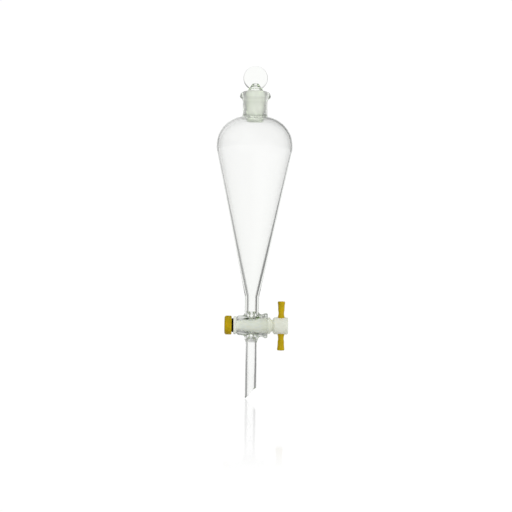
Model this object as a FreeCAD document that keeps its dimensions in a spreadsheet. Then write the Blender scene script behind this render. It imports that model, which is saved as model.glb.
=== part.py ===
"""Pear-shaped separatory funnel, 250 ml, with a ground-glass stopper and a PTFE stopcock.

Every sketch is drawn about the centre of the stopcock, where the funnel's axis (Z) crosses the
plug's axis (X). The placements then carry all the pieces to the row frame, whose origin is on the
funnel's axis at the height where a support ring holds the cone.
"""

import FreeCAD, Part

import math
import os
import re

import Sketcher
from FreeCAD import Rotation, Vector

# The driving dimensions, in millimetres and degrees. Heights are above the stopcock's centre.
SIZES = {
    "seat_height": (138.0, "where a support ring with a 60 mm opening holds the cone"),
    # glass: ground socket and rim
    "rim_height": (222.1, "mouth of the socket"),
    "socket_radius": (9.4, "ground socket at its mouth"),
    "joint_taper": (0.05, "change of radius per length, socket and stopper"),
    "neck_radius": (11.65, "outside of the socket"),
    "rim_radius": (14.6, "outside of the thick rim"),
    "rim_land": (10.6, "radius of the rim's flat top"),
    "rim_crown_radius": (4.6, "arc over the rim's outer edge"),
    "rim_crown_drop": (4.4, "from the mouth to the rim's widest place"),
    "rim_under_radius": (2.4, "arc under the rim's widest place"),
    "rim_waist_radius": (13.3, "where the rim starts to flow into the neck"),
    "rim_waist_drop": (6.9, "that place, below the mouth"),
    "rim_flow_radius": (4.5, "concave arc into the neck"),
    "rim_flow_drop": (10.9, "end of that arc, below the mouth"),
    # glass: pear-shaped vessel
    "dome_height": (170.5, "centre of the dome's arc"),
    "dome_offset": (8.33, "centre of the dome's arc, from the funnel's axis"),
    "dome_radius": (27.9, "outer arc of the dome"),
    "dome_wall": (1.5, "glass at the dome"),
    "cone_angle": (11.9, "half-angle of the outer cone"),
    "cavity_angle": (12.5, "half-angle of the inner cone, so the glass thickens downwards"),
    "neck_blend": (2.3, "fillet between neck and dome"),
    "cone_blend": (14.0, "fillet between outer cone and upper tube"),
    "cavity_blend": (7.0, "fillet between inner cone and tube bore"),
    # glass: tubes
    "tube_radius": (6.75, "outside of the tube above the stopcock"),
    "tube_bore": (3.75, "inside of that tube"),
    "tube_floor": (13.4, "where that bore starts to close"),
    "stem_radius": (5.3, "outside of the drain stem"),
    "stem_flare_radius": (6.4, "outside of the stem where it is fused to the barrel"),
    "stem_flare_start": (13.6, "depth where the stem starts to narrow"),
    "stem_flare_end": (16.8, "depth where it is plain"),
    "stem_flare_arc": (6.3, "concave arc between them"),
    "stem_bore": (3.8, "inside of the drain stem"),
    "stem_roof": (13.2, "depth where the stem's bore is fully open"),
    "stem_length": (69.1, "from the stopcock's centre to the tip"),
    "port_radius": (2.0, "ports and the plug's cross bore, a 4 mm stopcock"),
    "port_depth": (10.4, "length of each port from the centre"),
    # glass: stopcock barrel
    "barrel_left": (14.3, "barrel's small end, from the centre"),
    "barrel_right": (15.2, "barrel's flanged end, from the centre"),
    "barrel_lip_radius": (7.9, "outside at the small end's face"),
    "barrel_small_radius": (9.35, "outside beside the small end"),
    "barrel_shoulder": (3.4, "length of the small end's rounded shoulder"),
    "barrel_shoulder_arc": (3.7, "arc of that shoulder"),
    "barrel_large_radius": (10.7, "outside beside the flange"),
    "flange_radius": (12.0, "outside of the flange"),
    "flange_start": (9.9, "where the flange rises"),
    "flange_crest": (12.0, "where the flange is full"),
    "flange_face_radius": (10.4, "flange's end face"),
    "flange_rise_arc": (2.8, "concave arc up to the flange"),
    "flange_edge_arc": (1.6, "rounded edge of the flange"),
    "joint_blend": (2.4, "flare where the tubes are fused to the barrel"),
    # plug
    "plug_radius": (7.7, "plug at the flange's face"),
    "plug_taper": (0.1, "change of radius per length, plug and barrel"),
    "plug_clearance": (0.03, "radial gap between plug and barrel"),
    "collar_end": (17.3, "end of the taper outside the barrel"),
    "groove_start": (18.7, "start of the neck between collar and hub"),
    "groove_radius": (5.6, "that neck"),
    "hub_left": (20.2, "hub's inner face"),
    "hub_right": (34.6, "hub's outer face"),
    "hub_radius": (8.1, "hub"),
    "hub_inner_chamfer": (1.4, "on the hub's inner edge"),
    "hub_outer_chamfer": (1.0, "on the hub's outer edge"),
    "handle_offset": (28.0, "handle's axis from the funnel's axis"),
    "spot_face_radius": (3.55, "seat of each handle arm in the hub"),
    "spot_face_height": (7.45, "that seat, from the plug's axis"),
    "cross_hole_radius": (1.9, "handle's hole through the hub"),
    # threaded end of the plug and what is on it
    "thread_radius": (4.65, "crest of the thread"),
    "thread_depth": (0.85, "depth of the thread"),
    "thread_pitch": (1.5, "pitch of the thread"),
    "thread_crest": (0.2, "width of the crest"),
    "thread_root": (0.32, "width of the root"),
    "thread_gap": (0.13, "room between the threads of plug and nut"),
    "thread_start": (17.2, "where the thread runs out, from the centre"),
    "shank_end": (25.2, "free end of the shank, from the centre"),
    "shank_chamfer": (0.6, "on the free end"),
    "shank_flat": (3.9, "flat that keys the washer, from the axis"),
    "washer_radius": (8.6, "PTFE washer"),
    "washer_start": (14.36, "washer's inner face, from the centre"),
    "washer_end": (17.2, "washer's outer face, from the centre"),
    "washer_gap": (0.12, "room between the washer's hole and the shank"),
    "washer_chamfer": (0.35, "on the washer's edges"),
    "ring_centre": (18.09, "O-ring's plane, from the centre"),
    "ring_radius": (5.8, "O-ring's centre circle"),
    "cord_radius": (0.85, "O-ring's cord"),
    "nut_start": (18.98, "nut's inner face, from the centre"),
    "nut_end": (25.7, "nut's outer face, from the centre"),
    "nut_radius": (9.0, "nut over its ribs"),
    "nut_outer_chamfer": (1.15, "on the nut's outer edge"),
    "nut_inner_chamfer": (0.7, "on the nut's inner edge"),
    "flute_radius": (0.75, "grip flute"),
    "flute_depth": (0.42, "grip flute"),
    # handle arms, lengths from the seat in the hub
    "arm_foot_radius": (3.35, "flared foot"),
    "arm_foot_length": (1.1, "flared foot"),
    "arm_waist_arc": (10.0, "concave arc of the waist"),
    "arm_belly_radius": (3.1, "belly above the waist"),
    "arm_belly_height": (7.4, "belly above the waist"),
    "arm_belly_arc": (30.0, "shallow hollow between belly and end"),
    "arm_end_radius": (3.5, "widest place, near the end"),
    "arm_length": (15.8, "from the seat to the end"),
    "arm_edge_radius": (0.9, "rounded end"),
    "stud_radius": (1.85, "stud that joins the arms"),
    "stud_reach": (6.0, "stud's length inside the lower arm"),
    "socket_gap": (0.03, "room round the stud in the lower arm"),
    # stopper
    "stopper_gap": (0.04, "radial gap between stopper and socket"),
    "stopper_foot": (193.1, "lower end of the stopper"),
    "stopper_foot_blend": (3.2, "its rounded edge"),
    "stopper_top": (221.7, "upper end of the ground cone"),
    "shoulder_radius": (7.0, "neck of the stopper"),
    "shoulder_height": (222.9, "where the shoulder reaches that neck"),
    "shoulder_arc": (3.2, "arc of the shoulder"),
    "gusset_foot": (224.0, "where the neck starts to close towards the head"),
    "gusset_radius": (3.55, "top of the neck, against the head's faces"),
    "gusset_height": (229.5, "top of the neck, against the head's faces"),
    "gusset_blend": (0.8, "its rounded edge"),
    "disc_height": (234.7, "centre of the flat head"),
    "disc_radius": (11.6, "flat head"),
    "disc_width": (5.0, "thickness of the flat head"),
    "disc_blend": (1.6, "rounded edge of the flat head"),
}
FLUTES = 20
SHEET = "Sizes"


def bind(text):
    """A size written with the sheet's names, as an expression that points at its cells."""
    return re.sub(r"[a-z_]+", lambda m: f"{SHEET}.{m.group()}" if m.group() in SIZES else m.group(), text)


def make_sheet(doc):
    sheet = doc.addObject("Spreadsheet::Sheet", SHEET)
    for row, (alias, (value, note)) in enumerate(SIZES.items(), start=1):
        sheet.set(f"A{row}", note)
        sheet.set(f"B{row}", str(value))
        sheet.setAlias(f"B{row}", alias)
    doc.recompute()
    return sheet


def size(text):
    """The number that an expression gives now."""
    return float(doc.getObject(SHEET).evalExpression(bind(text)))


def new_body(name):
    body = doc.addObject("PartDesign::Body", name)
    body.Label = name
    return body


def new_sketch(body, name, plane="XZ_Plane"):
    """A sketch on one of the body's own planes. On XZ_Plane its axes are X and Z."""
    sketch = body.newObject("Sketcher::SketchObject", name)
    origin_plane = next(f for f in body.Origin.OriginFeatures if f.Role == plane)
    sketch.AttachmentSupport = [(origin_plane, "")]
    sketch.MapMode = "FlatFace"
    return sketch


def bound(sketch, kind, places, text):
    """A dimension of the sketch, bound to the sheet."""
    index = sketch.addConstraint(Sketcher.Constraint(kind, *places, size(text)))
    sketch.setExpression(f"Constraints[{index}]", bind(text))


def arc_between(start, end, radius):
    """The shorter arc from start to end. A positive radius turns left, a negative one right."""
    along = end - start
    left = Vector(-along.y, along.x, 0).normalize()
    reach = math.sqrt(radius**2 - (along.Length / 2) ** 2)
    centre = (start + end) / 2 + left * math.copysign(reach, radius)
    first, last = (start, end) if radius > 0 else (end, start)
    angles = [math.atan2(p.y - centre.y, p.x - centre.x) for p in (first, last)]
    return Part.ArcOfCircle(Part.Circle(centre, Vector(0, 0, 1), abs(radius)), *angles)


def profile(body, name, corners, plane="XZ_Plane"):
    """A closed outline. Each corner is (across, up) or (across, up, radius of the arc to the next)."""
    sketch = new_sketch(body, name, plane)
    points = [Vector(size(c[0]), size(c[1]), 0) for c in corners]
    ends = []
    for i, corner in enumerate(corners):
        start, end = points[i], points[(i + 1) % len(points)]
        if len(corner) == 2:
            ends.append((sketch.addGeometry(Part.LineSegment(start, end), False), 1, 2))
            continue
        radius = size(corner[2])
        index = sketch.addGeometry(arc_between(start, end, radius), False)
        ends.append((index, 1, 2) if radius > 0 else (index, 2, 1))
        bound(sketch, "Radius", (index,), corner[2].lstrip("-"))
    for i, (index, first, last) in enumerate(ends):
        following, start, _ = ends[(i + 1) % len(ends)]
        sketch.addConstraint(Sketcher.Constraint("Coincident", index, last, following, start))
        bound(sketch, "DistanceX", (-1, 1, index, first), corners[i][0])
        bound(sketch, "DistanceY", (-1, 1, index, first), corners[i][1])
    return sketch


def circle(body, name, across, up, radius, plane):
    sketch = new_sketch(body, name, plane)
    centre = Vector(size(across), size(up), 0)
    index = sketch.addGeometry(Part.Circle(centre, Vector(0, 0, 1), size(radius)), False)
    bound(sketch, "DistanceX", (-1, 1, index, 3), across)
    bound(sketch, "DistanceY", (-1, 1, index, 3), up)
    bound(sketch, "Radius", (index,), radius)
    return sketch


def turned(body, kind, name, axis, corners):
    """A Revolution or a Groove about the sketch's own axis: V_Axis is Z and H_Axis is X."""
    sketch = profile(body, f"{name}_sketch", corners)
    feature = body.newObject(f"PartDesign::{kind}", name)
    feature.Profile = sketch
    feature.ReferenceAxis = (sketch, [axis])
    feature.Angle = 360
    doc.recompute()
    return feature


def cut_through(body, name, sketch):
    """A pocket through everything, both ways from the sketch."""
    pocket = body.newObject("PartDesign::Pocket", name)
    pocket.Profile = sketch
    pocket.Type = "ThroughAll"
    pocket.Midplane = True
    doc.recompute()
    return pocket


def edges_where(shape, test):
    return [f"Edge{i}" for i, edge in enumerate(shape.Edges, start=1) if test(edge)]


def fillet(body, name, radius, test):
    base = body.Tip
    feature = body.newObject("PartDesign::Fillet", name)
    feature.Base = (base, edges_where(base.Shape, test))
    feature.setExpression("Radius", bind(radius))
    doc.recompute()
    return feature


def ring_at(radius, height, axis="z"):
    """A test for a circular edge of that radius at that height along the axis."""
    wanted, level = size(radius), size(height)

    def test(edge):
        curve = edge.Curve
        if not isinstance(curve, Part.Circle) or abs(curve.Radius - wanted) > 0.02:
            return False
        return abs(getattr(curve.Center, axis) - level) < 0.02

    return test


def helix_cut(body, name, start, length, floor, surface):
    """A right-hand thread groove about X, from start towards +X.

    floor and surface each give (half the groove's width, radius) there. The cut goes on past the
    surface by a tenth of its depth, along the same flanks.
    """
    width, radius = (f"(({s}) + (({s}) - ({f})) / 10)" for f, s in zip(floor, surface))
    sketch = profile(body, f"{name}_sketch", [
        (f"{start} - {width}", radius),
        (f"{start} - ({floor[0]})", floor[1]),
        (f"{start} + ({floor[0]})", floor[1]),
        (f"{start} + {width}", radius),
    ])
    helix = body.newObject("PartDesign::SubtractiveHelix", name)
    helix.Profile = sketch
    helix.ReferenceAxis = (sketch, ["H_Axis"])
    helix.Mode = "pitch-height-angle"
    helix.setExpression("Pitch", bind("thread_pitch"))
    helix.setExpression("Height", bind(length))
    doc.recompute()
    return helix


def place(feature, x="0", z="0"):
    """Carries a piece from the stopcock's centre, or from its own, to the row frame."""
    feature.setExpression("Placement.Base.x", bind(x))
    feature.setExpression("Placement.Base.z", bind(f"{z} - seat_height"))


CONE_TOP = ("dome_offset + dome_radius * cos(cone_angle)", "dome_height - dome_radius * sin(cone_angle)")
CONE_LENGTH = f"(({CONE_TOP[0]}) - tube_radius) / tan(cone_angle)"
CONE_FOOT = f"({CONE_TOP[1]}) - {CONE_LENGTH}"
INNER_DOME = "(dome_radius - dome_wall)"
CAVITY_TOP = (
    f"dome_offset + {INNER_DOME} * cos(cavity_angle)",
    f"dome_height - {INNER_DOME} * sin(cavity_angle)",
)
CAVITY_FOOT = f"({CAVITY_TOP[1]}) - (({CAVITY_TOP[0]}) - tube_bore) / tan(cavity_angle)"
DOME_TOP_AT_NECK = "dome_height + sqrt(dome_radius ^ 2 - (neck_radius - dome_offset) ^ 2)"


def glass_blank(body):
    """The outside of the glass, solid: rim, neck, dome, cone, tube and stem, then the barrel."""
    turned(body, "Revolution", "Vessel", "V_Axis", [
        ("0", "rim_height"),
        ("rim_land", "rim_height", "-rim_crown_radius"),
        ("rim_radius", "rim_height - rim_crown_drop", "-rim_under_radius"),
        ("rim_waist_radius", "rim_height - rim_waist_drop", "rim_flow_radius"),
        ("neck_radius", "rim_height - rim_flow_drop"),
        ("neck_radius", DOME_TOP_AT_NECK, "-dome_radius"),
        CONE_TOP,
        ("tube_radius", CONE_FOOT),
        ("tube_radius", "0"),
        ("stem_flare_radius", "0"),
        ("stem_flare_radius", "-stem_flare_start", "stem_flare_arc"),
        ("stem_radius", "-stem_flare_end"),
        ("stem_radius", "-stem_length"),
        ("0", "-stem_length"),
    ])
    fillet(body, "NeckBlend", "neck_blend", ring_at("neck_radius", DOME_TOP_AT_NECK))
    fillet(body, "ConeBlend", "cone_blend", ring_at("tube_radius", CONE_FOOT))
    turned(body, "Revolution", "Barrel", "H_Axis", [
        ("-barrel_left", "0"),
        ("-barrel_left", "barrel_lip_radius", "-barrel_shoulder_arc"),
        ("-barrel_left + barrel_shoulder", "barrel_small_radius"),
        ("flange_start", "barrel_large_radius", "flange_rise_arc"),
        ("flange_crest", "flange_radius"),
        ("barrel_right - flange_edge_arc", "flange_radius", "-flange_edge_arc"),
        ("barrel_right", "flange_face_radius"),
        ("barrel_right", "0"),
    ])


def is_fused_joint(edge):
    """True for the curves where the tubes meet the barrel: saddles on the barrel's surface."""
    box = edge.BoundBox
    inside_tube = max(-box.XMin, box.XMax, -box.YMin, box.YMax) < size("tube_radius") + 0.1
    on_barrel = size("stem_radius") < abs(box.Center.z) < size("barrel_large_radius")
    return inside_tube and on_barrel


def glass_hollows(body):
    """The vessel's cavity, the tapered seat of the plug, the stem's bore and its slanted tip."""
    taper_past_mouth = "socket_radius + joint_taper"
    socket_end = f"dome_height + {INNER_DOME}"
    turned(body, "Groove", "Cavity", "V_Axis", [
        ("0", "rim_height + 1"),
        (taper_past_mouth, "rim_height + 1"),
        (f"socket_radius - joint_taper * (rim_height - ({socket_end}))", socket_end),
        ("dome_offset", socket_end, f"-{INNER_DOME}"),
        CAVITY_TOP,
        ("tube_bore", CAVITY_FOOT),
        ("tube_bore", "tube_floor"),
        ("port_radius", "port_depth"),
        ("port_radius", "0"),
        ("0", "0"),
    ])
    fillet(body, "CavityBlend", "cavity_blend", ring_at("tube_bore", CAVITY_FOOT))
    turned(body, "Groove", "PlugSeat", "H_Axis", [
        ("-barrel_left - 1", "0"),
        ("-barrel_left - 1", "plug_radius + plug_clearance - plug_taper * (barrel_right + barrel_left + 1)"),
        ("barrel_right + 1", "plug_radius + plug_clearance + plug_taper"),
        ("barrel_right + 1", "0"),
    ])
    turned(body, "Groove", "StemBore", "V_Axis", [
        ("0", "0"),
        ("port_radius", "0"),
        ("port_radius", "-port_depth"),
        ("stem_bore", "-stem_roof"),
        ("stem_bore", "-stem_length - 1"),
        ("0", "-stem_length - 1"),
    ])
    bevel = profile(body, "Bevel_sketch", [
        ("-stem_radius", "-stem_length"),
        ("stem_radius + 1", "-stem_length + 2 * stem_radius + 1"),
        ("stem_radius + 1", "-stem_length - 1"),
        ("-stem_radius", "-stem_length - 1"),
    ])
    cut_through(body, "Bevel", bevel)


def make_glass():
    body = new_body("funnel_glass")
    glass_blank(body)
    fillet(body, "JointBlend", "joint_blend", is_fused_joint)
    glass_hollows(body)
    place(body)
    return body


def make_stopper():
    """A solid ground cone with a flat round head."""
    body = new_body("glass_stopper")
    cone = "socket_radius - stopper_gap - joint_taper * (rim_height - {})"
    turned(body, "Revolution", "GroundCone", "V_Axis", [
        ("0", "stopper_foot"),
        (cone.format("stopper_foot"), "stopper_foot"),
        (cone.format("stopper_top"), "stopper_top", "shoulder_arc"),
        ("shoulder_radius", "shoulder_height"),
        ("shoulder_radius", "gusset_foot"),
        ("gusset_radius", "gusset_height"),
        ("0", "gusset_height"),
    ])
    fillet(body, "GussetBlend", "gusset_blend", ring_at("gusset_radius", "gusset_height"))
    fillet(body, "FootBlend", "stopper_foot_blend", ring_at(cone.format("stopper_foot"), "stopper_foot"))
    head = body.newObject("PartDesign::Pad", "Head")
    head.Profile = circle(body, "Head_sketch", "0", "disc_height", "disc_radius", "XZ_Plane")
    head.Midplane = True
    head.setExpression("Length", bind("disc_width"))
    doc.recompute()
    fillet(body, "HeadBlend", "disc_blend", is_head_edge)
    place(body)
    return body


def is_head_edge(edge):
    """True for the two round edges of the stopper's flat head."""
    curve = edge.Curve
    return isinstance(curve, Part.Circle) and abs(curve.Radius - size("disc_radius")) < 0.01


def make_plug():
    """PTFE plug: threaded shank, taper with the cross bore, collar, neck and hub."""
    body = new_body("stopcock_plug")
    taper_end = "barrel_left - 0.2"
    turned(body, "Revolution", "Core", "H_Axis", [
        ("-shank_end", "0"),
        ("-shank_end", "thread_radius - shank_chamfer"),
        ("-shank_end + shank_chamfer", "thread_radius"),
        (f"-({taper_end})", "thread_radius"),
        (f"-({taper_end}) + 0.01", f"plug_radius - plug_taper * (barrel_right + {taper_end})"),
        ("collar_end", "plug_radius + plug_taper * (collar_end - barrel_right)"),
        ("groove_start", "groove_radius"),
        ("hub_left", "groove_radius"),
        ("hub_left", "hub_radius - hub_inner_chamfer"),
        ("hub_left + hub_inner_chamfer", "hub_radius"),
        ("hub_right - hub_outer_chamfer", "hub_radius"),
        ("hub_right", "hub_radius - hub_outer_chamfer"),
        ("hub_right", "0"),
    ])
    cut_through(body, "FlowBore", circle(body, "FlowBore_sketch", "0", "0", "port_radius", "XY_Plane"))
    cut_through(
        body,
        "HandleHole",
        circle(body, "HandleHole_sketch", "handle_offset", "0", "cross_hole_radius", "XY_Plane"),
    )
    cut_spot_faces(body)
    cut_shank_flat(body)
    helix_cut(
        body,
        "Thread",
        "-shank_end - thread_pitch",
        "shank_end + thread_pitch / 2 - thread_start",
        ("thread_root / 2", "thread_radius - thread_depth"),
        ("(thread_pitch - thread_crest) / 2", "thread_radius"),
    )
    place(body)
    return body


def cut_spot_faces(body):
    """Two round seats in the hub, one for each arm of the handle."""
    for side, sign in (("Upper", ""), ("Lower", "-")):
        name = f"{side}Seat"
        outline = [
            ("handle_offset - spot_face_radius", f"{sign}spot_face_height"),
            ("handle_offset", f"{sign}spot_face_height"),
            ("handle_offset", f"{sign}(hub_radius + 1)"),
            ("handle_offset - spot_face_radius", f"{sign}(hub_radius + 1)"),
        ]
        sketch = profile(body, f"{name}_sketch", outline)
        seat = body.newObject("PartDesign::Groove", name)
        seat.Profile = sketch
        seat.ReferenceAxis = (sketch, ["Edge2"])
        seat.Angle = 360
        doc.recompute()


def cut_shank_flat(body):
    """The flat that keeps the washer from turning on the shank."""
    sketch = profile(body, "Flat_sketch", [
        ("-shank_end - 1", "shank_flat"),
        ("-washer_start + washer_gap", "shank_flat"),
        ("-washer_start + washer_gap", "thread_radius + 1"),
        ("-shank_end - 1", "thread_radius + 1"),
    ])
    cut_through(body, "Flat", sketch)


def make_nut():
    """Fluted nut with the internal thread that fits the plug's."""
    body = new_body("tension_nut")
    bore = "(thread_radius - thread_depth + thread_gap)"
    turned(body, "Revolution", "Blank", "H_Axis", [
        ("-nut_end", bore),
        ("-nut_end", "nut_radius - nut_outer_chamfer"),
        ("-nut_end + nut_outer_chamfer", "nut_radius"),
        ("-nut_start - nut_inner_chamfer", "nut_radius"),
        ("-nut_start", "nut_radius - nut_inner_chamfer"),
        ("-nut_start", bore),
    ])
    flute_height = "nut_radius + flute_radius - flute_depth"
    flute = circle(body, "Flute_sketch", "0", flute_height, "flute_radius", "YZ_Plane")
    groove = cut_through(body, "Flute", flute)
    pattern = body.newObject("PartDesign::PolarPattern", "Flutes")
    pattern.Originals = [groove]
    pattern.Axis = (flute, ["N_Axis"])
    pattern.Angle = 360
    pattern.Occurrences = FLUTES
    body.Tip = pattern
    doc.recompute()
    helix_cut(
        body,
        "Thread",
        "-shank_end - 1.5 * thread_pitch",
        "shank_end + 3 * thread_pitch - nut_start",
        ("thread_crest / 2 + thread_gap", "thread_radius + thread_gap"),
        ("(thread_pitch - thread_root) / 2 + thread_gap", bore),
    )
    place(body)
    return body


def make_washer():
    """PTFE washer with a D-shaped hole, keyed to the shank's flat."""
    body = new_body("ptfe_washer")
    hole = "(thread_radius + washer_gap)"
    turned(body, "Revolution", "Disc", "H_Axis", [
        ("-washer_end", "0"),
        ("-washer_end", "washer_radius - washer_chamfer"),
        ("-washer_end + washer_chamfer", "washer_radius"),
        ("-washer_start - washer_chamfer", "washer_radius"),
        ("-washer_start", "washer_radius - washer_chamfer"),
        ("-washer_start", "0"),
    ])
    flat = "(shank_flat + washer_gap)"
    chord = f"sqrt({hole} ^ 2 - {flat} ^ 2)"
    hole_sketch = profile(body, "Hole_sketch", [
        (f"-{chord}", flat, hole),
        ("0", f"-{hole}", hole),
        (chord, flat),
    ], "YZ_Plane")
    cut_through(body, "Hole", hole_sketch)
    place(body)
    return body


def make_ring():
    ring = doc.addObject("Part::Torus", "o_ring")
    ring.Label = "o_ring"
    ring.setExpression("Radius1", bind("ring_radius"))
    ring.setExpression("Radius2", bind("cord_radius"))
    ring.Placement.Rotation = Rotation(Vector(0, 1, 0), 90)
    place(ring, x="-ring_centre")
    return ring


def arm_outline(first):
    """The outside of an arm from the end of its foot to its end, after the corners given first."""
    return first + [
        ("arm_foot_radius", "0"),
        ("arm_foot_radius", "arm_foot_length"),
        ("arm_foot_radius - 0.2", "arm_foot_length + 0.25", "-arm_waist_arc"),
        ("arm_belly_radius", "arm_belly_height", "-arm_belly_arc"),
        ("arm_end_radius", "arm_length - 1.6"),
        ("arm_end_radius", "arm_length - arm_edge_radius", "arm_edge_radius"),
        ("arm_end_radius - arm_edge_radius", "arm_length"),
        ("0", "arm_length + 0.15"),
    ]


def make_upper_arm():
    """The arm with the stud, which passes through the hub."""
    body = new_body("handle_arm_with_stud")
    turned(body, "Revolution", "Arm", "V_Axis", arm_outline([
        ("0", "-2 * spot_face_height - stud_reach"),
        ("stud_radius", "-2 * spot_face_height - stud_reach"),
        ("stud_radius", "0"),
    ]))
    place(body, x="handle_offset", z="spot_face_height")
    return body


def make_lower_arm():
    """The arm with the blind hole that holds the stud. It is drawn upright and hangs upside down."""
    body = new_body("handle_arm_with_socket")
    turned(body, "Revolution", "Arm", "V_Axis", arm_outline([
        ("0", "stud_reach + 0.3"),
        ("stud_radius + socket_gap", "stud_reach + 0.3"),
        ("stud_radius + socket_gap", "0"),
    ]))
    body.Placement.Rotation = Rotation(Vector(1, 0, 0), 180)
    place(body, x="handle_offset", z="-spot_face_height")
    return body


def check(pieces):
    for feature in doc.Objects:
        if "Invalid" in feature.State or "Error" in feature.State:
            raise SystemExit(f"{feature.Name} failed: {feature.State}")
    for piece in pieces:
        shape = piece.Shape
        if shape.isNull() or not shape.isValid() or len(shape.Solids) != 1:
            raise SystemExit(f"{piece.Label} is not one valid solid")
        print(f"{piece.Label}: {shape.Volume / 1000:.3f} cm3, {len(shape.Faces)} faces")


doc = FreeCAD.newDocument("separatory_funnel")
make_sheet(doc)
pieces = [
    make_glass(),
    make_stopper(),
    make_plug(),
    make_washer(),
    make_ring(),
    make_nut(),
    make_upper_arm(),
    make_lower_arm(),
]
doc.recompute()
check(pieces)
os.makedirs("parts", exist_ok=True)
for piece in pieces:
    piece.Shape.exportStep(f"parts/{piece.Label}.step")
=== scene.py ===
"""Looks for the separatory funnel: glass, PTFE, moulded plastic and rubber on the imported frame,
in a white studio with a faintly mirroring floor."""

import math

import bpy
import numpy as np
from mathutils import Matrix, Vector


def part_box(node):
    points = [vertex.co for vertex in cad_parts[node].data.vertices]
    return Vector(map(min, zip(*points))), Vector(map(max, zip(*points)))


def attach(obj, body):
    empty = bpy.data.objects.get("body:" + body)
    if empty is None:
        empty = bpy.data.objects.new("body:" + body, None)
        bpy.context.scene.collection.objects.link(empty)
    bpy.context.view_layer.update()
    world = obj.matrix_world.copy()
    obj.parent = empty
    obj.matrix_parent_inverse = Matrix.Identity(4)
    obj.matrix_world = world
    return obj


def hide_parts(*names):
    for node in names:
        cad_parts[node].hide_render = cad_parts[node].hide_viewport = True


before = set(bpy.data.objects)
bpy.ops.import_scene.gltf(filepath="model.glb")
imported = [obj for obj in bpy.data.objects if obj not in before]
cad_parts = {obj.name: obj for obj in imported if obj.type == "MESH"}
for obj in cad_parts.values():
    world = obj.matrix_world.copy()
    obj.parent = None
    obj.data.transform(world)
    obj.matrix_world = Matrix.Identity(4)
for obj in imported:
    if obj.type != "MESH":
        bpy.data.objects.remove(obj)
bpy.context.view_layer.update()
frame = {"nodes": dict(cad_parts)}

# Lengths are in metres.
MM = 0.001
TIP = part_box("funnel_glass")[0].z
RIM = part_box("funnel_glass")[1].z
STOPPER_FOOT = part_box("glass_stopper")[0].z

# The camera sees a WHITE studio, and a first reflection sees a WHITE floor. Everything else sees
# one of the three studios below. Plain numbers are brightnesses, and radians are angles. Pairs are
# the stretch of a direction's x, y or z over which one brightness goes over into the next. A
# direction has length 1, and x is to the right, y away from the camera and z up.
WHITE = 1.02
# Other reflections, in and on the glass and in the floor, see a dim room in front of the object
# and beside it, a soft box overhead, and white behind it, within WHITE_TO of straight behind,
# fading to WHITE_ENDS.
WHITE_TO = math.radians(7)
WHITE_ENDS = math.radians(31)
ROOM_FRONT = 0.48
ROOM_LEFT = 0.32
ROOM_RIGHT = 0.18
OVERHEAD_LEFT = 0.65
OVERHEAD_RIGHT = 0.2
LEFT_TO_RIGHT = (-0.4, 0.4)
FRONT_TO_SIDES = (-0.8, -0.3)
RISE = (0.12, 0.5)
# Dull surfaces see a tent: brightest before and behind the object, and dimmer on the left and
# below it.
TENT_FRONT = 1.3
TENT_SIDES = 0.6
TENT_LEFT = 0.65
TENT_RIGHT = 1.25
TENT_BELOW = 0.7
TENT_DEPTH = (0.3, 0.9)
TENT_WIDTH = (-0.7, 0.7)
TENT_RISE = (-0.5, 0.3)
# Clear glass sees white cards on four sides, reaching CARD to either side of their middles, and
# narrow ones at the corners between them, with dark gaps left and right of each. The soft box is
# above them all.
CARD = math.radians(25)
CORNER_CARD = math.radians(7)
CARD_EDGE = math.radians(2)
GAP = 0.36
CARD_TOP = (0.15, 0.4)

# The floor is just under the tip, and mirrors most right below the object.
FLOOR_GAP = 0.3 * MM
FLOOR_REACH = 6.0
MIRROR = 0.35
MIRROR_FADES = (0.2, 0.55)

AIM = (0, 0, -0.06)
CAMERA_PLACE = (0.0031, -1.351, -0.072)
CAMERA_ROLL = math.radians(-0.95)


# ---------------------------------------------------------------- finer glass
# Refraction shows every facet, so the glass is drawn with a finer copy of its CAD mesh. An edge
# whose curve bows away from the straight line by more than BOW is split at the curve's middle.

BOW = 0.005 * MM
ROUNDS = 3
# normals that differ by more than this, here as a cosine, belong to two faces with a crease between
CREASE = math.cos(math.radians(2))
# a normal that leans less than this from the seam's plane, here as a sine, is a smooth face's
SEAM = math.sin(math.radians(15))
SEAM_WIDTH = 0.001 * MM
# points nearer than about this are one point
WELD = 0.0001 * MM
TINY = 1e-18


def unit(vectors):
    return vectors / np.maximum(np.linalg.norm(vectors, axis=-1, keepdims=True), TINY)


def dot(a, b):
    return (a * b).sum(-1, keepdims=True)


def corners_of(mesh):
    """The mesh as points, triangles of points, and a normal for each triangle's corners."""
    places = np.empty(len(mesh.vertices) * 3, np.float32)
    mesh.vertices.foreach_get("co", places)
    places = places.reshape(-1, 3)
    mesh.calc_loop_triangles()
    loops = np.empty(len(mesh.loop_triangles) * 3, np.int32)
    mesh.loop_triangles.foreach_get("loops", loops)
    owners = np.empty(len(mesh.loops), np.int32)
    mesh.loops.foreach_get("vertex_index", owners)
    normals = np.empty(len(mesh.loops) * 3, np.float32)
    mesh.corner_normals.foreach_get("vector", normals)
    grid = np.round(places.astype(float) / WELD).astype(np.int64)
    _, first, welded = np.unique(grid, axis=0, return_index=True, return_inverse=True)
    points = places[first].astype(float)
    triangles = welded.reshape(-1)[owners[loops]].reshape(-1, 3)
    normals = unit(normals.reshape(-1, 3)[loops].astype(float)).reshape(-1, 3, 3)
    whole = (triangles != np.roll(triangles, -1, axis=1)).all(axis=1)
    # Round faces start and end on the plane y = 0, and there the mesh has each flat side's normal.
    # The glass is the same on both sides of the plane, so a smooth face's normal lies in it.
    seam = np.abs(points[triangles][..., 1]) < SEAM_WIDTH
    seam &= np.abs(normals[..., 1]) < SEAM
    normals[seam, 1] = 0
    return points, triangles[whole], unit(normals)[whole]


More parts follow.
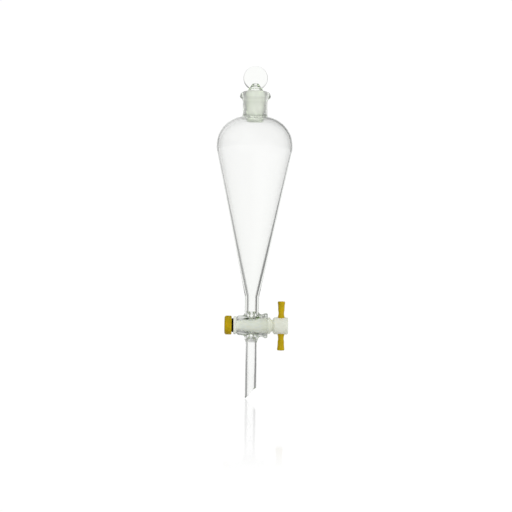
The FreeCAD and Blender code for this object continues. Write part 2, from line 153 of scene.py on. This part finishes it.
def middles(points, triangles, normals):
    """Each triangle side's number among the edges, each edge's middle on the curve, and its bow."""
    following = np.roll(triangles, -1, axis=1)
    keys = np.sort(np.stack([triangles, following], -1).reshape(-1, 2), axis=1)
    edges, sides = np.unique(keys, axis=0, return_inverse=True)
    sides = sides.reshape(-1)
    swap = (triangles > following).reshape(-1, 1)
    start = normals.reshape(-1, 3)
    end = np.roll(normals, -1, axis=1).reshape(-1, 3)
    ends = np.stack([np.where(swap, end, start), np.where(swap, start, end)], 1)
    # the normals on the edge's two sides, at its two ends
    one = np.zeros((len(edges), 2, 3))
    other = np.zeros((len(edges), 2, 3))
    one[sides[::-1]] = ends[::-1]
    other[sides] = ends
    a, b = points[edges[:, 0]], points[edges[:, 1]]
    along = b - a

    def shift(directions):
        """How far the middle moves when the curve keeps to the directions at its two ends."""
        first, last = directions[:, 0], directions[:, 1]
        return (first * dot(along, first) - last * dot(along, last)) / 8

    # a smooth edge is square to its normals, and a crease runs along both faces
    crease = shift(unit(np.cross(one, other)))
    sharp = (dot(one, other) < CREASE).all(axis=1)
    bow = np.where(sharp, crease, -shift(one))
    return sides.reshape(-1, 3), (a + b) / 2 + bow, np.linalg.norm(bow, axis=1)


def split(points, triangles, normals):
    """One round of splitting. A triangle becomes two, three or four where its sides are split."""
    sides, centres, bows = middles(points, triangles, normals)
    marked = bows > BOW
    number = np.where(marked, len(points) + np.cumsum(marked) - 1, -1)
    half = number[sides]
    following = np.roll(triangles, -1, axis=1)
    next_normals = np.roll(normals, -1, axis=1)
    along = points[following] - points[triangles]
    both = normals + next_normals
    lean = 2 * dot(along, both) / np.maximum(dot(along, along), TINY)
    half_normals = unit(both - lean * along)
    corners = np.concatenate([triangles, half], 1)
    shading = np.concatenate([normals, half_normals], 1)
    points = np.concatenate([points, centres[marked]])
    # corners 0, 1 and 2 are the triangle's own, and 3, 4 and 5 the middles of its sides
    patterns = {0: [(0, 1, 2)], 7: [(0, 3, 5), (3, 1, 4), (5, 4, 2), (3, 4, 5)]}
    for turn in range(3):
        p, q, r = [(turn + k) % 3 for k in range(3)]
        patterns[1 << p] = [(p, 3 + p, r), (3 + p, q, r)]
        patterns[(1 << p) | (1 << q)] = [(3 + p, q, 3 + q), (p, 3 + p, 3 + q), (p, 3 + q, r)]
    code = ((half >= 0) * np.array([1, 2, 4])).sum(1)
    pieces, piece_normals = [], []
    for value, parts in patterns.items():
        rows = code == value
        for part in parts:
            pieces.append(corners[rows][:, part])
            piece_normals.append(shading[rows][:, part])
    return points, np.concatenate(pieces), np.concatenate(piece_normals)


def finer_glass(name, node, body):
    """A new piece that stands for the node, with its curves drawn smoothly."""
    points, triangles, normals = corners_of(frame["nodes"][node].data)
    for _ in range(ROUNDS):
        points, triangles, normals = split(points, triangles, normals)
    mesh = bpy.data.meshes.new(name)
    mesh.from_pydata(points.tolist(), [], triangles.tolist())
    mesh.polygons.foreach_set("use_smooth", [True] * len(mesh.polygons))
    mesh.normals_split_custom_set(normals.reshape(-1, 3).tolist())
    piece = bpy.data.objects.new(name, mesh)
    bpy.context.scene.collection.objects.link(piece)
    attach(piece, body)
    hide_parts(node)
    return piece


# ---------------------------------------------------------------- node helpers


class Graph:
    """A node tree, with short names for what the materials and the studio use."""

    def __init__(self, tree):
        self.tree = tree

    def new(self, kind, **settings):
        node = self.tree.nodes.new(f"ShaderNode{kind}")
        for key, value in settings.items():
            setattr(node, key, value)
        return node

    def link(self, source, target):
        """The target socket takes its value from another socket or a number."""
        if hasattr(source, "links"):
            self.tree.links.new(source, target)
        else:
            target.default_value = source

    def math(self, operation, *values):
        node = self.new("Math", operation=operation)
        for value, socket in zip(values, node.inputs):
            self.link(value, socket)
        return node.outputs[0]

    def axes(self, vector):
        """The vector's x, y and z."""
        node = self.new("SeparateXYZ")
        self.link(vector, node.inputs[0])
        return node.outputs

    def spread(self, value, low, high, start=0.0, end=1.0):
        """value from start..end mapped to low..high, smoothly."""
        node = self.new("MapRange", interpolation_type="SMOOTHSTEP")
        self.link(value, node.inputs["Value"])
        names = ("From Min", "From Max", "To Min", "To Max")
        for name, number in zip(names, (start, end, low, high)):
            self.link(number, node.inputs[name])
        return node.outputs["Result"]


class Material(Graph):
    """A material's node tree, with its shader and the place on the object."""

    def __init__(self, name):
        self.material = bpy.data.materials.new(name)
        self.material.use_nodes = True
        super().__init__(self.material.node_tree)
        self.shader = self.tree.nodes["Principled BSDF"]
        self.place = self.new("TexCoord").outputs["Object"]

    def noise(self, scale, detail, stretch=(1, 1, 1)):
        mapping = self.new("Mapping")
        mapping.inputs["Scale"].default_value = stretch
        self.link(self.place, mapping.inputs["Vector"])
        node = self.new("TexNoise")
        self.link(mapping.outputs[0], node.inputs["Vector"])
        node.inputs["Scale"].default_value = scale
        node.inputs["Detail"].default_value = detail
        return node.outputs["Fac"]

    def colours(self, factor, *stops):
        """A colour ramp. Each stop is (position, (r, g, b))."""
        node = self.new("ValToRGB")
        ramp = node.color_ramp
        for element, (position, colour) in zip(ramp.elements, stops):
            element.position = position
            element.color = (*colour, 1)
        for position, colour in stops[2:]:
            ramp.elements.new(position).color = (*colour, 1)
        self.link(factor, node.inputs["Fac"])
        return node.outputs["Color"]

    def bump(self, height, distance, strength):
        node = self.new("Bump")
        node.inputs["Strength"].default_value = strength
        node.inputs["Distance"].default_value = distance
        self.link(height, node.inputs["Height"])
        self.link(node.outputs["Normal"], self.shader.inputs["Normal"])

    def set(self, **values):
        for name, value in values.items():
            self.link(value, self.shader.inputs[name.replace("_", " ")])


def paint(piece, material):
    slots = piece.data.materials
    slots.clear()
    slots.append(material)


# ---------------------------------------------------------------- materials


def ground_zone(nodes, outer, start, end):
    """1 on the ground surface: nearer the Z axis than outer, and from start to end in height."""
    x, y, z = nodes.axes(nodes.place)
    squares = [nodes.math("MULTIPLY", side, side) for side in (x, y)]
    from_axis = nodes.math("SQRT", nodes.math("ADD", *squares))
    edge = 0.4 * MM
    inside = nodes.spread(from_axis, 1.0, 0.0, outer - edge, outer + edge)
    after = nodes.spread(z, 0.0, 1.0, start - edge, start + edge)
    before = nodes.spread(z, 1.0, 0.0, end - edge, end + edge)
    return nodes.math("MULTIPLY", inside, nodes.math("MULTIPLY", after, before))


def glass(name, zone, clear, dull):
    """Clear borosilicate glass, faintly green in its depth, and white where it is ground.

    The zone is that ground surface. There the glass lets the share clear through, and its
    roughness is between dull's two values.
    """
    nodes = Material(name)
    ground = ground_zone(nodes, *zone)
    grain = nodes.noise(scale=9000, detail=2)
    nodes.set(
        Base_Color=nodes.colours(ground, (0.0, (1.0, 1.0, 1.0)), (1.0, (0.985, 0.985, 0.97))),
        Roughness=nodes.math("MULTIPLY", ground, nodes.spread(grain, *dull)),
        IOR=1.474,
        Transmission_Weight=nodes.spread(ground, 1.0, clear),
    )
    depth = nodes.new("VolumeAbsorption")
    depth.inputs["Color"].default_value = (0.4, 0.9, 0.0, 1)
    depth.inputs["Density"].default_value = 4.0
    nodes.link(depth.outputs[0], nodes.tree.nodes["Material Output"].inputs["Volume"])
    return nodes.material


def ptfe(name, colour):
    """Turned PTFE: waxy, a little translucent, with fine tool marks round the X axis.

    It is whiter inside the barrel. This is painted light, standing in for the light that the clear
    glass keeps from it.
    """
    nodes = Material(name)
    marks = nodes.noise(scale=900, detail=2, stretch=(4, 0.1, 0.1))
    mottle = nodes.noise(scale=160, detail=4)
    along = nodes.axes(nodes.place)["X"]
    # painted light: whiter where x is below 8 mm, fading out by 14 mm, for the light the glass
    # barrel keeps from the PTFE
    painted_light_fades = (8 * MM, 14 * MM)
    painted_barrel_light = nodes.spread(along, 0.6, 0.0, *painted_light_fades)
    shade = [channel * 0.93 for channel in colour]
    nodes.set(
        # the mottle is random tone, and the painted light in the barrel lifts it towards the
        # whitest stop
        Base_Color=nodes.colours(
            nodes.math("ADD", nodes.math("MULTIPLY", mottle, 0.4), painted_barrel_light),
            (0.12, shade), (0.28, colour), (0.9, (0.82, 0.85, 0.78)),
        ),
        Roughness=nodes.spread(marks, 0.34, 0.5),
        IOR=1.38,
        Subsurface_Weight=0.35,
        Subsurface_Scale=0.0015,
        Subsurface_Radius=(1.0, 0.95, 0.85),
    )
    nodes.bump(marks, distance=0.02 * MM, strength=0.5)
    return nodes.material


def plastic(name):
    """Moulded yellow plastic with a faint orange-peel skin."""
    nodes = Material(name)
    mottle = nodes.noise(scale=120, detail=5)
    skin = nodes.noise(scale=1500, detail=2)
    nodes.set(
        Base_Color=nodes.colours(mottle, (0.3, (0.42, 0.30, 0.002)), (0.68, (0.55, 0.38, 0.003))),
        Roughness=nodes.spread(skin, 0.3, 0.42),
        IOR=1.5,
        Specular_IOR_Level=0.12,
        Subsurface_Weight=0.1,
        Subsurface_Scale=0.001,
    )
    nodes.bump(skin, distance=0.03 * MM, strength=0.4)
    return nodes.material


def rubber(name):
    """Black rubber with a fine grain."""
    nodes = Material(name)
    grain = nodes.noise(scale=2500, detail=3)
    faint, dusty = (0.0005, 0.0005, 0.0003), (0.002, 0.002, 0.001)
    nodes.set(
        Base_Color=nodes.colours(grain, (0.3, faint), (0.7, dusty)),
        Roughness=nodes.spread(grain, 0.42, 0.6),
        IOR=1.5,
        Specular_IOR_Level=0.04,
    )
    nodes.bump(grain, distance=0.02 * MM, strength=0.5)
    return nodes.material


def dress():
    """Every piece gets its material, and the two glass ones are drawn finer."""
    vessel = finer_glass("vessel_glass", "funnel_glass", "glassware")
    # the socket's ground surface, but not the neck's outside
    socket = (10 * MM, STOPPER_FOOT + 4 * MM, RIM - 0.4 * MM)
    paint(vessel, glass("funnel_glass_skin", socket, clear=0.6, dull=(0.12, 0.25)))
    stopper = finer_glass("stopper_glass_piece", "glass_stopper", "stopper")
    # the whole width of the stopper's cone
    cone = (20 * MM, STOPPER_FOOT + 0.6 * MM, RIM - 0.1 * MM)
    paint(stopper, glass("stopper_glass_skin", cone, clear=0.78, dull=(0.2, 0.34)))
    nodes = frame["nodes"]
    paint(nodes["stopcock_plug"], ptfe("plug_ptfe_skin", (0.80, 0.82, 0.72)))
    paint(nodes["ptfe_washer"], ptfe("washer_ptfe_skin", (0.70, 0.68, 0.56)))
    paint(nodes["o_ring"], rubber("black_rubber_skin"))
    handle = plastic("handle_plastic_skin")
    paint(nodes["handle_arm_with_stud"], handle)
    paint(nodes["handle_arm_with_socket"], handle)
    paint(nodes["tension_nut"], plastic("nut_plastic_skin"))


# ---------------------------------------------------------------- stage


def card(graph, turn, half_width, inside, outside):
    """The brightness inside up to half_width from the middle of each side, and outside past it.

    turn is 1 in the middle of each side and -1 at each corner.
    """
    edges = [math.cos(4 * (half_width + side)) for side in (CARD_EDGE, -CARD_EDGE)]
    return graph.spread(turn, outside, inside, *edges)


def studio(graph, place):
    """The studio's brightness in the direction of place, for the kind of ray that asks."""
    direction = graph.new("VectorMath", operation="NORMALIZE")
    graph.link(place, direction.inputs[0])
    x, y, z = graph.axes(direction.outputs[0])
    overhead = graph.spread(x, OVERHEAD_LEFT, OVERHEAD_RIGHT, *LEFT_TO_RIGHT)

    sides = graph.spread(x, ROOM_LEFT, ROOM_RIGHT, *LEFT_TO_RIGHT)
    room = graph.spread(y, ROOM_FRONT, sides, *FRONT_TO_SIDES)
    around = graph.spread(z, room, overhead, *RISE)
    behind = math.cos(WHITE_ENDS), math.cos(WHITE_TO)
    reflected = graph.spread(y, around, WHITE, *behind)

    tent = graph.spread(graph.math("ABSOLUTE", y), TENT_SIDES, TENT_FRONT, *TENT_DEPTH)
    across = graph.spread(x, TENT_LEFT, TENT_RIGHT, *TENT_WIDTH)
    height = graph.spread(z, TENT_BELOW, 1, *TENT_RISE)
    tent = graph.math("MULTIPLY", tent, graph.math("MULTIPLY", across, height))

    # the cosine of four times the angle round Z
    turn = graph.math("COSINE", graph.math("MULTIPLY", graph.math("ARCTAN2", x, y), 4))
    wide = card(graph, turn, CARD, WHITE, GAP)
    narrow = card(graph, turn, math.radians(45) - CORNER_CARD, GAP, WHITE)
    cards = graph.math("MAXIMUM", wide, narrow)
    through = graph.spread(z, cards, overhead, *CARD_TOP)

    ray = graph.new("LightPath").outputs
    # after one bounce, Ray Depth is 1 on the floor and 2 in the world
    reflected = graph.spread(ray["Ray Depth"], WHITE, reflected, 1, 2)
    seen = graph.spread(ray["Glossy Depth"], through, reflected)
    seen = graph.spread(ray["Diffuse Depth"], seen, tent)
    return graph.spread(ray["Is Camera Ray"], seen, WHITE)


def add_world():
    world = bpy.data.worlds.new("studio")
    world.use_nodes = True
    bpy.context.scene.world = world
    graph = Graph(world.node_tree)
    place = graph.new("TexCoord").outputs["Generated"]
    background = graph.tree.nodes["Background"]
    background.inputs["Color"].default_value = (1, 1, 1, 1)
    graph.link(studio(graph, place), background.inputs["Strength"])


def add_floor():
    """A floor that glows like the studio beyond, so the camera can't see where it ends.

    It is also a faint mirror near the object.
    """
    mesh = bpy.data.meshes.new("floor")
    height = TIP - FLOOR_GAP
    corners = [(-1, -1), (1, -1), (1, 1), (-1, 1)]
    places = [(x * FLOOR_REACH, y * FLOOR_REACH, height) for x, y in corners]
    mesh.from_pydata(places, [], [(0, 1, 2, 3)])
    floor = bpy.data.objects.new("floor", mesh)
    bpy.context.scene.collection.objects.link(floor)
    nodes = Material("floor_white")
    nodes.tree.nodes.remove(nodes.shader)
    glow = nodes.new("Emission")
    nodes.link(studio(nodes, nodes.place), glow.inputs["Strength"])
    mirror = nodes.new("BsdfGlossy")
    mirror.inputs["Color"].default_value = (1, 1, 1, 1)
    mirror.inputs["Roughness"].default_value = 0.05
    length = nodes.new("VectorMath", operation="LENGTH")
    nodes.link(nodes.place, length.inputs[0])
    share = nodes.spread(length.outputs["Value"], MIRROR, 0.0, *MIRROR_FADES)
    mix = nodes.new("MixShader")
    for source, socket in zip((share, glow.outputs[0], mirror.outputs[0]), mix.inputs):
        nodes.link(source, socket)
    nodes.link(mix.outputs[0], nodes.tree.nodes["Material Output"].inputs["Surface"])
    paint(floor, nodes.material)


def add_light(name, place, size, power):
    """A soft box that lights dull surfaces, and is not seen in or through the glass."""
    data = bpy.data.lights.new(name, "AREA")
    data.shape = "RECTANGLE"
    data.size, data.size_y = size
    data.energy = power
    light = bpy.data.objects.new(name, data)
    light.location = place
    light.visible_glossy = False
    light.visible_transmission = False
    light.rotation_euler = (Vector(AIM) - Vector(place)).to_track_quat("-Z", "Y").to_euler()
    bpy.context.scene.collection.objects.link(light)


def add_camera():
    data = bpy.data.cameras.new("camera")
    data.lens = 100
    data.sensor_width = 36
    camera = bpy.data.objects.new("camera", data)
    camera.location = CAMERA_PLACE
    camera.rotation_euler = (math.radians(90), CAMERA_ROLL, 0)
    bpy.context.scene.collection.objects.link(camera)
    bpy.context.scene.camera = camera


dress()
add_world()
add_floor()
add_light("key", place=(1.0, -1.3, 0.5), size=(0.5, 1.0), power=3)
add_light("top", place=(0.0, -0.2, 1.3), size=(0.8, 0.8), power=1.5)
add_camera()
scene = bpy.context.scene
scene.view_settings.view_transform = "Standard"
# glossy filtering would dull the light that reaches the plug and the stopper through clear glass
scene.cycles.blur_glossy = 0
scene.cycles.max_bounces = 24
scene.cycles.diffuse_bounces = 12
scene.cycles.glossy_bounces = 16
scene.cycles.transmission_bounces = 24
